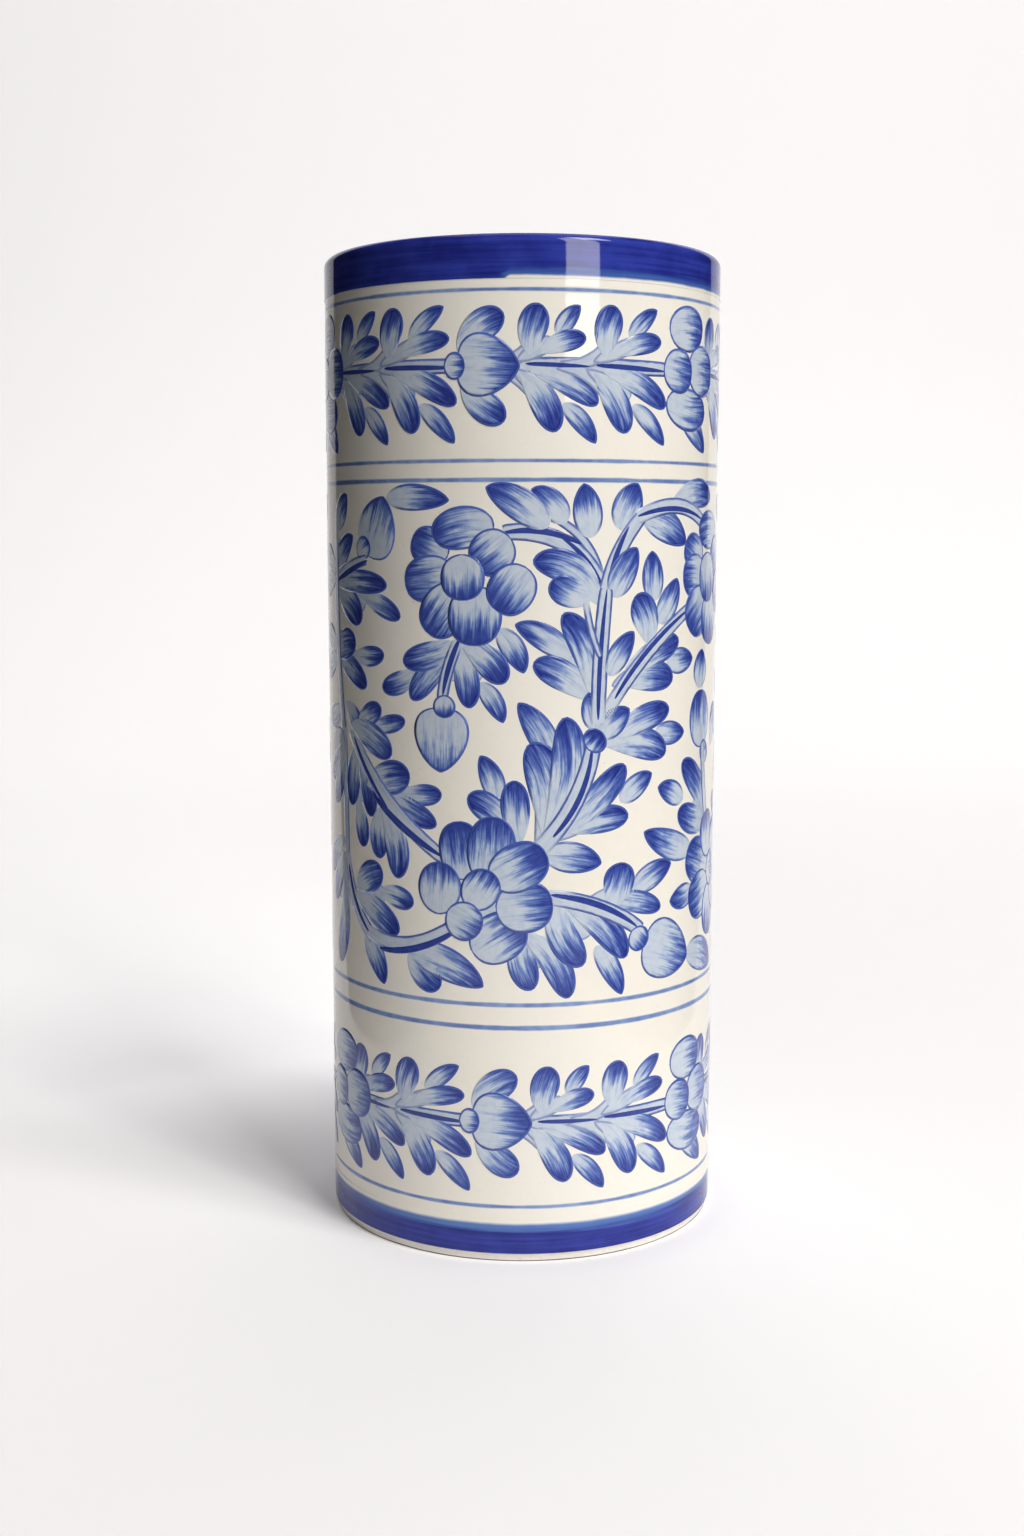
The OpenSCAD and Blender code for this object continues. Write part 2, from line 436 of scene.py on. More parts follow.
paint_t = 0.1 * MM
band_r = outer_r + paint_t
rim_low = vase_h - 11.6 * MM
rim_turn = 72
rim = [(band_r, rim_low)]
rim += arc(outer_r - lip_r, vase_h - lip_r, lip_r + paint_t, 0, rim_turn)
rim += arc(outer_r - lip_r, vase_h - lip_r, lip_r, rim_turn, 0)
rim += [(outer_r, rim_low)]
rim_band = turned("rim_band_painted", rim)
rim_solid = vase_h - 8.6 * MM
rim_edge = vase_h - 11.3 * MM
rim_cobalt = band_material("rim_cobalt", rim_solid, rim_edge, 2.2 * MM, (0.055, 0.13, 0.40, 1))
rim_band.data.materials.append(rim_cobalt)

foot_top = 12.2 * MM
foot_rows = 6
foot = []
for row in range(foot_rows + 1):
    foot.append((band_r, glaze_stop + (foot_top - glaze_stop) * row / foot_rows))
foot += [(outer_r, foot_top), (outer_r, glaze_stop)]
foot_band = turned("foot_band_painted", foot)
foot_cobalt = band_material("foot_cobalt", 7.8 * MM, 11.5 * MM, 0.0, (0.095, 0.20, 0.50, 1))
foot_band.data.materials.append(foot_cobalt)
for band, node_name in ((rim_band, "rim_band"), (foot_band, "foot_band")):
    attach(band, "root")
    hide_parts(node_name)


# The six ring lines: single turns of a thin brush, paler than the bands, a little
# uneven in width and load.
def kept_value(tree, name, kind="Vector"):
    """A value that was kept on the mesh for its material."""
    node = tree.nodes.new("ShaderNodeAttribute")
    node.attribute_type = "GEOMETRY"
    node.attribute_name = name
    return node.outputs[kind]


def ring_blue():
    """The thin blue of one line, which ends half_width (in mm) from its middle."""
    material, tree, shader, bump = finish_material("ring_blue", 0.05)
    ground = ground_node(tree)
    place = own_place(tree)
    half_width = kept_value(tree, "half_width", "Fac")
    across = calc(tree, "ABSOLUTE", kept_value(tree, "across", "Fac"))
    waver = calc(tree, "MULTIPLY", calc(tree, "SUBTRACT", noise(tree, place, 90, 3), 0.5), 0.5)
    edge = calc(tree, "ADD", calc(tree, "SUBTRACT", half_width, across), waver)
    grain = calc(tree, "MULTIPLY", noise(tree, place, 400, 2), 0.4)
    load = calc(tree, "MULTIPLY_ADD", noise(tree, place, 50, 3), 0.7, grain)
    blue = mix(tree, between(tree, load, 0.35, 0.8), (0.12, 0.20, 0.47, 1), (0.27, 0.38, 0.63, 1))
    colour = mix(tree, between(tree, edge, -0.15, 0.35), ground.outputs["Color"], blue)
    tree.links.new(colour, shader.inputs["Base Color"])
    tree.links.new(ground.outputs["Height"], bump.inputs["Height"])
    return material


line_blue = ring_blue()
line_heights = (263.6, 219.7, 214.7, 73.1, 66.7, 15.9)
line_widths = (1.1, 1.15, 1.35, 1.35, 1.5, 1.2)
line_margin = 0.4
line_face_r = outer_r + 0.006 * MM
line_back_r = outer_r - 0.02 * MM
for number, (line_h, line_w) in enumerate(zip(line_heights, line_widths), 1):
    reach = (line_w / 2 + line_margin) * MM
    middle = line_h * MM
    line = turned(f"ring_line_{number}_painted", [
        (line_back_r, middle - reach),
        (line_face_r, middle - reach),
        (line_face_r, middle),
        (line_face_r, middle + reach),
        (line_back_r, middle + reach),
    ])
    across = line.data.attributes.new("across", "FLOAT", "POINT")
    half_width = line.data.attributes.new("half_width", "FLOAT", "POINT")
    for vertex in line.data.vertices:
        across.data[vertex.index].value = (vertex.co.z - middle) / MM
        half_width.data[vertex.index].value = line_w / 2
    line.data.materials.append(line_blue)
    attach(line, "root")
    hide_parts(f"ring_line_{number}")


# The brushwork of the friezes: each stroke of the loaded brush is one thin film of
# paint on the glaze, pale where the brush ran dry and dark where it was lifted.
# Strokes are given in millimetres round the wall from the front, and up it.
def brush_tree():
    """Lays a film of paint on the wall for each point, from its stroke's own values."""
    tree = bpy.data.node_groups.new("brush_strokes", "GeometryNodeTree")
    tree.is_modifier = True
    tree.interface.new_socket("Geometry", in_out="INPUT", socket_type="NodeSocketGeometry")
    for name, kind in (
        ("Wall radius", "Float"),
        ("Margin", "Float"),
        ("Film step", "Float"),
        ("Steps along", "Int"),
        ("Steps across", "Int"),
        ("Paint", "Material"),
    ):
        tree.interface.new_socket(name, in_out="INPUT", socket_type=f"NodeSocket{kind}")
    tree.interface.new_socket("Geometry", in_out="OUTPUT", socket_type="NodeSocketGeometry")
    entry = tree.nodes.new("NodeGroupInput")
    exit_node = tree.nodes.new("NodeGroupOutput")
    given = entry.outputs

    slab = tree.nodes.new("GeometryNodeMeshCube")
    tree.links.new(given["Steps along"], slab.inputs["Vertices X"])
    tree.links.new(given["Steps across"], slab.inputs["Vertices Y"])
    spread = tree.nodes.new("GeometryNodeInstanceOnPoints")
    tree.links.new(given["Geometry"], spread.inputs["Points"])
    tree.links.new(slab.outputs["Mesh"], spread.inputs["Instance"])
    realize = tree.nodes.new("GeometryNodeRealizeInstances")
    tree.links.new(spread.outputs["Instances"], realize.inputs["Geometry"])

    def attribute(name):
        node = tree.nodes.new("GeometryNodeInputNamedAttribute")
        node.data_type = "FLOAT_VECTOR"
        node.inputs["Name"].default_value = name
        return node.outputs["Attribute"]

    def run(operation, *values):
        return calc(tree, operation, *values)

    x, y, z = parts(tree, tree.nodes.new("GeometryNodeInputPosition").outputs[0])
    base_arc, base_h, order = parts(tree, attribute("base"))
    tip_arc, tip_h, bend = parts(tree, attribute("tip"))
    fullness, base_blunt, tip_blunt = parts(tree, attribute("form"))
    margin = given["Margin"]
    sunk = 0.02
    near_end = 0.004

    # How far along the stroke each row lies, closer together at the ends, and how wide
    # the stroke is there.
    run_arc = run("SUBTRACT", tip_arc, base_arc)
    run_h = run("SUBTRACT", tip_h, base_h)
    length = run("SQRT", run("ADD", run("MULTIPLY", run_arc, run_arc), run("MULTIPLY", run_h, run_h)))
    dir_arc = run("DIVIDE", run_arc, length)
    dir_h = run("DIVIDE", run_h, length)
    half_turn = run("MULTIPLY", run("ADD", x, 0.5), math.pi)
    eased = run("MULTIPLY", run("SUBTRACT", 1, run("COSINE", half_turn)), 0.5)
    whole = run("ADD", length, run("MULTIPLY", margin, 2))
    along = run("SUBTRACT", run("MULTIPLY", eased, whole), margin)
    part = run("DIVIDE", along, length)
    inner = run("MINIMUM", run("MAXIMUM", part, near_end), 1 - near_end)
    rest = run("SUBTRACT", 1, inner)
    swell = run("MULTIPLY", run("POWER", inner, base_blunt), run("POWER", rest, tip_blunt))
    width = run("MULTIPLY", fullness, swell)
    lean = run("SUBTRACT", run("DIVIDE", base_blunt, inner), run("DIVIDE", tip_blunt, rest))
    slope = run("MULTIPLY", run("DIVIDE", width, length), lean)
    across = run("MULTIPLY", run("MULTIPLY", y, 2), run("ADD", width, margin))

    # How deep inside the stroke's outline each point lies, or how far outside it
    past_tip = run("MAXIMUM", run("SUBTRACT", along, length), 0)
    past_end = run("MAXIMUM", past_tip, run("MULTIPLY", along, -1))
    steep = run("SQRT", run("MULTIPLY_ADD", slope, slope, 1))
    to_side = run("DIVIDE", run("SUBTRACT", width, run("ABSOLUTE", across)), steep)
    edge = run("SUBTRACT", to_side, past_end)

    # The bent stroke, laid on the wall at the height of its own film
    full_bend = run("MULTIPLY", bend, 4)
    bow = run("MULTIPLY", full_bend, run("MULTIPLY", part, run("SUBTRACT", 1, part)))
    turn = run("MULTIPLY", full_bend, run("SUBTRACT", 1, run("MULTIPLY", part, 2)))
    pace = run("SQRT", run("ADD", run("MULTIPLY", length, length), run("MULTIPLY", turn, turn)))
    side_step = run("DIVIDE", run("MULTIPLY", across, length), pace)
    back_step = run("DIVIDE", run("MULTIPLY", across, turn), pace)
    forward = run("SUBTRACT", along, back_step)
    sideways = run("ADD", bow, side_step)
    round_step = run("SUBTRACT", run("MULTIPLY", forward, dir_arc), run("MULTIPLY", sideways, dir_h))
    up_step = run("ADD", run("MULTIPLY", forward, dir_h), run("MULTIPLY", sideways, dir_arc))
    arc_mm = run("ADD", base_arc, round_step)
    up_mm = run("ADD", base_h, up_step)
    lift = run("MULTIPLY", run("ADD", order, 2), given["Film step"])
    top = run("SUBTRACT", run("MULTIPLY", run("ADD", z, 0.5), run("ADD", lift, sunk)), sunk)
    out_mm = run("ADD", given["Wall radius"], top)
    angle = run("DIVIDE", arc_mm, given["Wall radius"])
    place = tree.nodes.new("ShaderNodeCombineXYZ")
    right_mm = run("MULTIPLY", out_mm, run("SINE", angle))
    front_mm = run("MULTIPLY", out_mm, run("COSINE", angle))
    tree.links.new(run("MULTIPLY", right_mm, MM), place.inputs["X"])
    tree.links.new(run("MULTIPLY", front_mm, -MM), place.inputs["Y"])
    tree.links.new(run("MULTIPLY", up_mm, MM), place.inputs["Z"])

    shape = realize.outputs["Geometry"]
    stroke = tree.nodes.new("ShaderNodeCombineXYZ")
    tree.links.new(part, stroke.inputs["X"])
    tree.links.new(along, stroke.inputs["Y"])
    tree.links.new(across, stroke.inputs["Z"])
    for name, kind, value in (
        ("stroke", "FLOAT_VECTOR", stroke.outputs[0]),
        ("edge", "FLOAT", edge),
        ("place", "FLOAT_VECTOR", place.outputs[0]),
    ):
        store = tree.nodes.new("GeometryNodeStoreNamedAttribute")
        store.data_type = kind
        store.domain = "POINT"
        store.inputs["Name"].default_value = name
        tree.links.new(value, store.inputs["Value"])
        tree.links.new(shape, store.inputs["Geometry"])
        shape = store.outputs["Geometry"]
    move = tree.nodes.new("GeometryNodeSetPosition")
    tree.links.new(shape, move.inputs["Geometry"])
    tree.links.new(attribute("place"), move.inputs["Position"])
    join = tree.nodes.new("GeometryNodeRealizeInstances")
    tree.links.new(move.outputs["Geometry"], join.inputs["Geometry"])
    paint_node = tree.nodes.new("GeometryNodeSetMaterial")
    tree.links.new(join.outputs["Geometry"], paint_node.inputs["Geometry"])
    tree.links.new(given["Paint"], paint_node.inputs["Material"])
    tree.links.new(paint_node.outputs["Geometry"], exit_node.inputs["Geometry"])
    return tree


def brush_blue():
    """The paint of a stroke: pale at its base, dark, streaked and pooled at its tip, and
    drawn round with a thin line."""
    material, tree, shader, bump = finish_material("brush_blue", 0.05)
    ground = ground_node(tree)
    place = own_place(tree)

    def run(operation, *values):
        return calc(tree, operation, *values)

    part, along, across = parts(tree, kept_value(tree, "stroke"))
    dark_from, load, outline = parts(tree, kept_value(tree, "ink"))
    line_from, seed = parts(tree, kept_value(tree, "habit"))[:2]
    waver = run("MULTIPLY", run("SUBTRACT", noise(tree, place, 420, 2), 0.5), 0.5)
    edge = run("ADD", kept_value(tree, "edge", "Fac"), waver)

    def hairs(across_scale, along_scale, detail):
        hair_place = tree.nodes.new("ShaderNodeCombineXYZ")
        sideways = run("MULTIPLY_ADD", seed, 7.3, run("MULTIPLY", across, across_scale))
        feed(tree, hair_place, X=sideways, Y=run("MULTIPLY", along, along_scale), Z=seed)
        return run("SUBTRACT", noise(tree, hair_place.outputs[0], 1, detail), 0.5)

    broad_hair = hairs(0.75, 0.09, 2)
    fine_hair = hairs(2.6, 0.13, 3)
    ragged = run("MULTIPLY_ADD", broad_hair, 3.4, run("MULTIPLY", fine_hair, 2.2))
    fade_run = 0.30
    depth = run("ADD", run("DIVIDE", run("SUBTRACT", part, dark_from), fade_run), ragged)
    laid = run("MULTIPLY", between(tree, depth, -0.9, 1.6), load)
    pool = run("MULTIPLY", between(tree, edge, 1.3, 0.3), between(tree, depth, -1.5, 0.6))
    pooled = run("ADD", laid, run("MULTIPLY", pool, 0.25))
    specks = run("MULTIPLY", run("SUBTRACT", noise(tree, place, 500, 3), 0.5), 0.3)
    dark = run("ADD", pooled, specks)
    tones = tree.nodes.new("ShaderNodeValToRGB")
    tree.links.new(dark, tones.inputs["Fac"])
    ramp = tones.color_ramp
    ramp.elements[0].color = (0.585, 0.645, 0.725, 1)
    ramp.elements[1].color = (0.022, 0.034, 0.23, 1)
    for position, colour in (
        (0.15, (0.40, 0.49, 0.67, 1)),
        (0.38, (0.17, 0.25, 0.54, 1)),
        (0.68, (0.060, 0.100, 0.39, 1)),
    ):
        ramp.elements.new(position).color = colour
    wet = run("MULTIPLY_ADD", broad_hair, 0.8, run("MULTIPLY", fine_hair, 0.6))
    wash = mix(tree, between(tree, wet, -0.1, 0.45), tones.outputs["Color"], (0.38, 0.47, 0.66, 1))
    body = mix(tree, between(tree, dark, 0.05, 0.3), wash, tones.outputs["Color"])
    line = run("MULTIPLY", between(tree, edge, 0.82, 0.34), outline)
    line = run("MULTIPLY", line, between(tree, part, line_from, run("ADD", line_from, 0.25)))
    drawn = mix(tree, line, body, (0.066, 0.115, 0.40, 1))
    tree.links.new(drawn, shader.inputs["Base Color"])
    tree.links.new(ground.outputs["Height"], bump.inputs["Height"])
    return material


strokes_tree = brush_tree()
brush_paint = brush_blue()
strokes = []

# How each kind of stroke is shaped and loaded: how blunt its base and its tip are,
# where the dark starts, how dark it gets, how strong its outline is and where the
# outline starts. Places along a stroke run from 0 at its base to 1 at its tip.
stroke_kinds = {
    "lobe": (0.74, 0.48, 0.54, 0.94, 1.0, 0.40),
    "leaf": (0.52, 0.64, 0.50, 0.88, 0.95, 0.02),
    "petal": (0.42, 0.40, 0.58, 0.85, 1.0, -0.3),
    "round": (0.48, 0.46, 0.58, 0.85, 1.0, -0.3),
    "pale": (0.50, 0.48, 0.95, 0.6, 1.0, -0.3),
    "heart": (0.38, 0.66, 0.92, 0.6, 1.0, -0.3),
    "wash": (0.62, 0.30, 3.0, 0.2, 0.55, -0.3),
    "stem": (0.06, 0.06, 3.0, 0.2, 0.95, 0.0),
    "vein": (0.40, 0.55, -0.3, 0.72, 0.3, 0.0),
}


def paint(kind, base_arc, base_h, tip_arc, tip_h, width, bend=0.0, dark_from=None, load=None):
    """One stroke, from where the brush was set down pale to where it was lifted."""
    shape = list(stroke_kinds[kind])
    if dark_from is not None:
        shape[2] = dark_from
    if load is not None:
        shape[3] = load
    strokes.append((base_arc, base_h, tip_arc, tip_h, width, bend, *shape))


def dry(name, *replaced, long=False, first_order=0, start=0):
    """Turns the strokes painted so far into one piece of the decoration, start further
    round the wall. Their orders run up from first_order, and a stroke of a higher order
    lies over one of a lower order, in any piece. Long strokes get more steps."""
    mesh = bpy.data.meshes.new(name)
    mesh.from_pydata([(0, 0, 0)] * len(strokes), [], [])
    values = {"base": [], "tip": [], "form": [], "ink": [], "habit": []}
    for order, stroke in enumerate(strokes, first_order):
        base_arc, base_h, tip_arc, tip_h, width, bend, base_blunt, tip_blunt = stroke[:8]
        base_arc += start
        tip_arc += start
        dark_from, load, outline, line_from = stroke[8:]
        peak = base_blunt / (base_blunt + tip_blunt)
        fullest = peak ** base_blunt * (1 - peak) ** tip_blunt
        values["base"] += (base_arc, base_h, order)
        values["tip"] += (tip_arc, tip_h, bend)
        values["form"] += (width / 2 / fullest, base_blunt, tip_blunt)
        values["ink"] += (dark_from, load, outline)
        own_seed = (base_arc * 0.37 + tip_h * 0.91) % 9.7
        values["habit"] += (line_from, own_seed, 0)
    for key, numbers in values.items():
        mesh.attributes.new(key, "FLOAT_VECTOR", "POINT")
        mesh.attributes[key].data.foreach_set("vector", numbers)
    points = bpy.data.objects.new(name + "_points", mesh)
    bpy.context.scene.collection.objects.link(points)
    modifier = points.modifiers.new("brush", "NODES")
    modifier.node_group = strokes_tree
    inputs = {
        "Wall radius": outer_r / MM,
        "Margin": 0.04,
        "Film step": 0.0033,
        "Steps along": 57 if long else 29,
        "Steps across": 7 if long else 15,
        "Paint": brush_paint,
    }
    for item in strokes_tree.interface.items_tree:
        if item.in_out == "INPUT" and item.name in inputs:
            modifier[item.identifier] = inputs[item.name]
    bpy.context.view_layer.update()
    evaluated = points.evaluated_get(bpy.context.evaluated_depsgraph_get())
    film = bpy.data.meshes.new_from_object(evaluated)
    film.name = name
    film.shade_smooth()
    bpy.data.objects.remove(points)
    piece = bpy.data.objects.new(name, film)
    bpy.context.scene.collection.objects.link(piece)
    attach(piece, "root")
    if replaced:
        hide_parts(*replaced)
    strokes.clear()
    return piece


# The upper and lower friezes: a stem that runs round the vase from flower to
# flower, with a bud in its middle and two fronds above and below on each side.
def border_veins(at, stem_h, first, last):
    paint("vein", at(first), stem_h + 0.3, at(first + 17), stem_h - 0.2, 1.1)
    paint("vein", at(last - 22), stem_h + 0.2, at(last), stem_h - 0.5, 1.3)


def frond_above(at, stem_h, middle, reach=0.0):
    """Two pale webs, a small leaf, a lobe that lies along the stem and one that stands up."""
    paint("wash", at(middle - 13), stem_h + 1, at(middle + 1), stem_h + 7, 3.8, -2.8)
    paint("wash", at(middle - 4), stem_h + 1, at(middle + 7 + reach), stem_h + 6.4, 4.6)
    paint("leaf", at(middle + 6.8), stem_h + 7.6, at(middle + 14.4 + reach), stem_h + 15.3, 5.0, 0.5)
    paint("lobe", at(middle + 2), stem_h + 3, at(middle + 16 + reach), stem_h + 7, 5.6, 1)
    paint("lobe", at(middle - 0.6), stem_h + 2.6, at(middle + 2.4), stem_h + 15.5, 8, 0.8)


def frond_below(at, stem_h, middle, reach=0.0):
    """Two pale webs, a small leaf at the outer end, and two lobes that hang from one point."""
    paint("wash", at(middle - 12), stem_h - 1, at(middle + 3), stem_h - 9, 4.2, 2.8)
    paint("wash", at(middle - 4), stem_h - 1, at(middle + 7 + reach), stem_h - 8, 4.8)
    paint("leaf", at(middle + 9.8), stem_h - 10, at(middle + 18.8 + reach), stem_h - 20, 5.4, 0.7)
    paint("lobe", at(middle - 1.6), stem_h - 2, at(middle + 7.6), stem_h - 17.2, 7.8, 1.6)
    paint("lobe", at(middle + 1), stem_h - 1.4, at(middle + 19.2 + reach), stem_h - 10, 6.6, 1.6)


def bud_with_sepals(at, stem_h, middle):
    paint("lobe", at(middle - 8), stem_h - 4.2, at(middle + 3.6), stem_h - 14, 8.2, -1, 0.58)
    paint("lobe", at(middle - 9), stem_h + 4, at(middle + 3.3), stem_h + 12.8, 8.4, 1.4, 0.62)
    paint("heart", at(middle - 9.5), stem_h + 0.5, at(middle + 7.4), stem_h - 0.4, 16.6, 0, 0.56, 0.9)
    paint("round", at(middle - 13), stem_h, at(middle - 7.2), stem_h, 7.2, 0)


def border_flower(at, stem_h, middle):
    paint("leaf", at(middle - 3.5), stem_h - 12, at(middle + 9.5), stem_h - 21.3, 7.4, 1.2)
    paint("petal", at(middle - 8.5), stem_h + 10, at(middle + 7.5), stem_h + 10.8, 12.4, 1)
    paint("petal", at(middle - 9.5), stem_h - 7.8, at(middle + 9.5), stem_h - 9.6, 11.6, -1.5)
    paint("petal", at(middle), stem_h + 0.7, at(middle + 14.5), stem_h + 0.5, 14, 0)
    paint("petal", at(middle - 10.8), stem_h + 0.7, at(middle + 1.5), stem_h - 0.8, 12, 0)


def border_panel(name, stem_h, start, stretch=1.0, frieze=None):
    """From one flower to the next, measured from the bud between them. The panel that
    is given a frieze's name stands for the flowers and the fronds of that frieze."""
    fronds = [f"{frieze}_fronds"] if frieze else []
    flowers = [f"{frieze}_flowers"] if frieze else []

    def at(offset):
        return start + offset * stretch

    paint("stem", at(-55), stem_h, at(-8), stem_h, 4.2)
    paint("stem", at(3), stem_h, at(52), stem_h, 4.2)
    dry(f"{name}_stem", long=True)
    frond_above(at, stem_h, -50)
    frond_below(at, stem_h, -50)
    frond_above(at, stem_h, -30, 2.5)
    frond_below(at, stem_h, -30, 1)
    dry(f"{name}_left_fronds", *fronds, first_order=1)
    frond_above(at, stem_h, 10.5, -1.5)
    frond_below(at, stem_h, 9)
    frond_above(at, stem_h, 31, 1.5)
    frond_below(at, stem_h, 29, 2)
    dry(f"{name}_right_fronds", first_order=2)
    border_veins(at, stem_h, -53, -10)
    border_veins(at, stem_h, 9, 50)
    bud_with_sepals(at, stem_h, 0)
    dry(f"{name}_bud", *flowers, first_order=20)
    border_flower(at, stem_h, 60.5)
    dry(f"{name}_flower", first_order=22)


round_trip = 2 * math.pi * outer_r / MM
upper_stem_h = 244.3
lower_stem_h = 40
lower_bud_arc = -4.5
border_panel("upper_front", upper_stem_h, -8, frieze="upper")
border_panel("upper_right", upper_stem_h, 112.5, 0.94)
border_panel("upper_left", upper_stem_h, 228, 0.94)
border_panel("lower_front", lower_stem_h, lower_bud_arc, frieze="lower")
border_panel("lower_right", lower_stem_h, lower_bud_arc + round_trip / 3)
border_panel("lower_left", lower_stem_h, lower_bud_arc - round_trip / 3)


# The middle frieze: a garden of vines that rise from one big flower, with an open
# peony, buds, arching stems and three-lobed fronds. It is painted twice round, and
# a vine at each side fills the ground between.
def frond(*lobes):
    """The pale web that joins the lobes near their root, then the lobes over it."""
    web_length = 0.66
    web_width = 0.46
    root_arc = sum(lobe[0] for lobe in lobes) / len(lobes)
    root_h = sum(lobe[1] for lobe in lobes) / len(lobes)
    tips_arc = sum(lobe[2] for lobe in lobes) / len(lobes)
    tips_h = sum(lobe[3] for lobe in lobes) / len(lobes)
    spread = max(math.dist(one[2:4], other[2:4]) for one in lobes for other in lobes)
    web_arc = root_arc + web_length * (tips_arc - root_arc)
    web_h = root_h + web_length * (tips_h - root_h)
    paint("wash", root_arc, root_h, web_arc, web_h, spread * web_width)
    for lobe in lobes:
        paint("lobe", *lobe)


def main_vines(side, start):
    """The vines that rise from the big flower and cross the left of the garden."""
    paint("stem", -61.5, 148, -60.5, 106, 3.4)
    paint("stem", -60.5, 110, -47, 88, 5, -3)
    paint("vein", -59.5, 107, -48, 88.5, 1.5, -2)
    paint("stem", -49, 89.5, -19, 94.5, 4.4, -4)
    paint("vein", -44, 85.3, -17.5, 94, 1.9, -2.4)
    paint("stem", -57, 146, -22, 113.2, 4.6, -2)
    paint("vein", -55.5, 144, -40, 125, 1.5, -0.8)
    paint("vein", -46, 128.5, -22, 113.4, 2.1, -0.8)
    paint("stem", 4, 115.5, 20, 146, 5.2, -3)
    paint("vein", 8.5, 119.5, 19.4, 145, 1.5, -2.6)
    paint("stem", 21, 150, 23.2, 186, 4.6, 0.5)
    paint("vein", 21, 151, 23.4, 186, 1.3, 0.6)
    dry(f"{side}_vines", long=True, first_order=1, start=start)


def arching_stems(side, start):
    """The stems that arch over at the top, and those that reach out at both sides."""
    paint("stem", 21.8, 188, 9.5, 204.3, 2.6, -2.4)
    paint("stem", 23, 184, -5, 201, 4.8, -6)
    paint("vein", 23, 183, 10, 200, 1.4, -2)
    paint("vein", 16, 198, -6, 200.6, 1.7, -2)
    paint("stem", 22.5, 182, 35, 206, 4.4, 2.4)
    paint("vein", 24, 186, 30, 202.5, 1.5, 1)
    paint("stem", 33, 205, 66, 201, 4.4, 5)
    paint("vein", 33, 205.3, 62, 204.3, 1.3, 2.6)
    paint("stem", 23, 152, 54, 180, 4.2, 3)
    paint("vein", 26, 156.5, 54.5, 180, 1.4, 3)
    paint("stem", 7, 103, 35, 92, 4.8, 2)
    paint("vein", 8, 103.6, 34, 92.8, 1.7, 2)
    paint("stem", 17.4, 182.3, 21.5, 168, 2, -0.6)
    paint("stem", 68, 118, 64, 141, 3.2, 0.5)
    paint("stem", -72, 186, -48.5, 193.5, 3.4, 0.8)
    paint("vein", -66, 187.5, -48, 193.3, 1.8)
    paint("stem", -66, 205, -62, 146, 3.4, -2)
    dry(f"{side}_arches", long=True, first_order=1, start=start)


def open_peony(side, start, *replaced):
    paint("petal", -20, 195, -31, 199.3, 10.8, 0, 0.5)
    paint("petal", -18, 189.5, -33.4, 187.8, 12.8, 0, 0.52)
    paint("petal", -17, 186.5, -26, 174, 13.4, 0, 0.5)
    paint("petal", -12.5, 187, -13, 171, 15, 0, 0.5)
    paint("petal", -7.5, 202, -24.3, 199.5, 11.4, -1.5, 0.55)
    paint("petal", -3, 199.5, -12.8, 192, 12.4, 0, 0.55)
    paint("petal", 1.6, 191.5, -7, 180.5, 12.8, 0, 0.5)
    paint("petal", -16.2, 195.2, -16, 183, 12.4, 0, 0.55)
    dry(f"{side}_peony", *replaced, first_order=14, start=start)


def hanging_bud(side, start):
    """The leaves and the bud that hang from the peony."""
    paint("wash", -16.5, 172.5, -19, 161.5, 16, 0)
    paint("leaf", -6.5, 175.3, 0.5, 163.8, 6.6, 1)
    paint("lobe", -28, 164.5, -42, 158.8, 6.4, 1)
    paint("lobe", -18.5, 170.5, -31.5, 156, 7.2, -0.5)
    paint("lobe", -16.5, 171.8, -34.3, 166.3, 7.6, 0.8)
    paint("leaf", -11.5, 161, -5, 150.5, 5.6, 0.8)
    paint("lobe", -17.5, 171.5, -14.3, 154.3, 7, 0.8)
    paint("lobe", -16.5, 172, -4.8, 161, 8.2, 1.5)
    paint("stem", -17.2, 172, -22, 156, 3.6, -0.8)
    paint("vein", -17, 172.5, -21.8, 157.5, 1.5, -0.6)
    paint("heart", -22.5, 154.2, -22.5, 136.6, 16.4, 0, 0.66, 0.8)
    paint("round", -21.3, 157.6, -21.5, 151.4, 6.6)
    dry(f"{side}_hanging_bud", start=start)


def top_bud(side, start):
    """The bud at the top left, and its leaves."""
    paint("leaf", -65, 201.5, -58.3, 211.3, 7.8, 1)
    paint("leaf", -67, 189.5, -55, 200, 7.6, 1)
    paint("heart", -47, 194.3, -41, 210.6, 15.8, 0, 0.62, 0.85)
    paint("round", -52.7, 195, -47, 198.4, 6.6)
    paint("leaf", -39.8, 210, -19.8, 209.4, 7.2, 0.6)
    dry(f"{side}_top_bud", start=start)


def left_vine_fronds(side, start, *replaced):
    """Fronds on the right of the left-hand vine."""
    frond(
        (-35.5, 130, -22.3, 130.6, 6, -0.3),
        (-46, 129.5, -24, 121.8, 6.8, 0.8),
        (-49, 131, -32.3, 135, 9.8, 0.6),
    )
    frond(
        (-51.5, 183.8, -35.3, 177.8, 5.8, 0.8),
        (-66, 185, -51.5, 176, 9, 1.5),
        (-66, 186.5, -40, 186.5, 6.6, 1),
    )
    frond(
        (-56, 166.8, -41.3, 167.8, 5.8, -0.4),
        (-68, 167, -49, 158.3, 7.2, 1.4),
        (-69, 167, -54, 170.5, 9, 0.8),
    )
    frond(
        (-48, 147.5, -33.8, 150.2, 5.2, -0.4),
        (-60, 153.5, -52, 144.8, 6.5, 0.8),
        (-53, 147, -42.5, 152.8, 6.4, 0.8),
        (-57, 147.5, -39, 139.8, 8.4, 1.4),
    )
    frond(
        (-44, 101.5, -31.4, 99.3, 6.4, 0.6),
        (-56, 99.5, -36.6, 90.6, 8.2, 1),
        (-55, 101, -42.5, 107, 9, 0.8),
    )
    dry(f"{side}_left_vine_fronds", *replaced, start=start)


